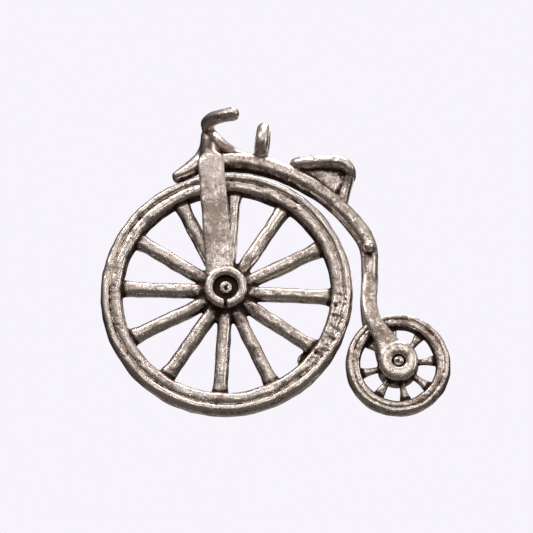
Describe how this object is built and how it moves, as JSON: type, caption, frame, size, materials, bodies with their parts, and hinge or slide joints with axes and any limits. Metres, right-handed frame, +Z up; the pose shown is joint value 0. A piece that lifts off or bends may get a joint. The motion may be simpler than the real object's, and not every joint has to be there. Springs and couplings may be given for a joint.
{
  "type": "penny farthing bicycle charm",
  "caption": "Cast silver charm of a penny farthing bicycle: big and small wheels turn on pins in straddling forks, and a loop on the curved backbone hangs it.",
  "frame": {"origin": "middle of the hole in the hanging loop on the backbone", "axes": "+X from the big front wheel to the small rear wheel, +Z up, the bicycle's own plane is Y = 0 and its left side faces -Y"},
  "size_m": [0.027, 0.0069, 0.0241],
  "materials": {
    "worn_silver": "cast sterling silver, antiqued and worn bright on raised faces",
    "bright_silver": "cast sterling silver, rubbed bright",
    "tarnished_silver": "cast sterling silver, brown-black tarnish left in the recesses"
  },
  "bodies": {
    "frame": {"backbone": "worn_silver", "rear_stem": "worn_silver", "rear_fork_arm_near": "bright_silver", "rear_fork_arm_far": "bright_silver", "mounting_step": "bright_silver", "steering_head": "tarnished_silver", "handlebar": "worn_silver", "brake_spoon": "worn_silver", "front_fork_leg_near": "bright_silver", "front_fork_leg_far": "bright_silver", "front_axle_pin": "tarnished_silver", "rear_axle_pin": "tarnished_silver", "saddle": "bright_silver", "saddle_bracket": "tarnished_silver", "hanging_loop": "worn_silver"},
    "front_wheel": {"front_tyre_band": "worn_silver", "front_rim": "worn_silver", "front_spokes": "worn_silver", "front_hub": "tarnished_silver"},
    "rear_wheel": {"rear_tyre_band": "worn_silver", "rear_rim": "worn_silver", "rear_spokes": "worn_silver", "rear_hub": "tarnished_silver"}
  },
  "joints": [
    {"name": "front_wheel_spin", "type": "hinge", "parent": "frame", "child": "front_wheel", "pos_m": [-0.0027, 0, -0.01245], "axis": [0, 1, 0], "continuous": true},
    {"name": "rear_wheel_spin", "type": "hinge", "parent": "frame", "child": "rear_wheel", "pos_m": [0.0105, 0, -0.01825], "axis": [0, 1, 0], "continuous": true}
  ]
}
